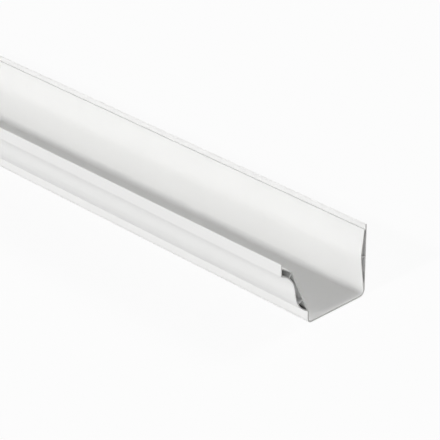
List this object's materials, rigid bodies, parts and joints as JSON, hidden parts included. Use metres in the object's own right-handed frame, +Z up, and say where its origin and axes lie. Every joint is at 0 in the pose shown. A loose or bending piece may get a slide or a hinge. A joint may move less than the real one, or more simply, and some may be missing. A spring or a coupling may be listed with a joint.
{
  "type": "gutter section",
  "caption": "Straight length of ogee-fronted rain gutter: an open channel with hollow ribbed front and back walls, a flat floor and a flat back that goes against a fascia board.",
  "frame": {"origin": "on the underside's plane, mid length and mid overall width", "axes": "+X along the gutter, -Y towards the ogee front and lip, +Y towards the fascia board, +Z up"},
  "size_m": [3.048, 0.127, 0.0855],
  "materials": {
    "white_pvc": "white rigid PVC, satin as extruded, sawn ends"
  },
  "bodies": {
    "root": {"gutter_section": "white_pvc"}
  },
  "joints": []
}
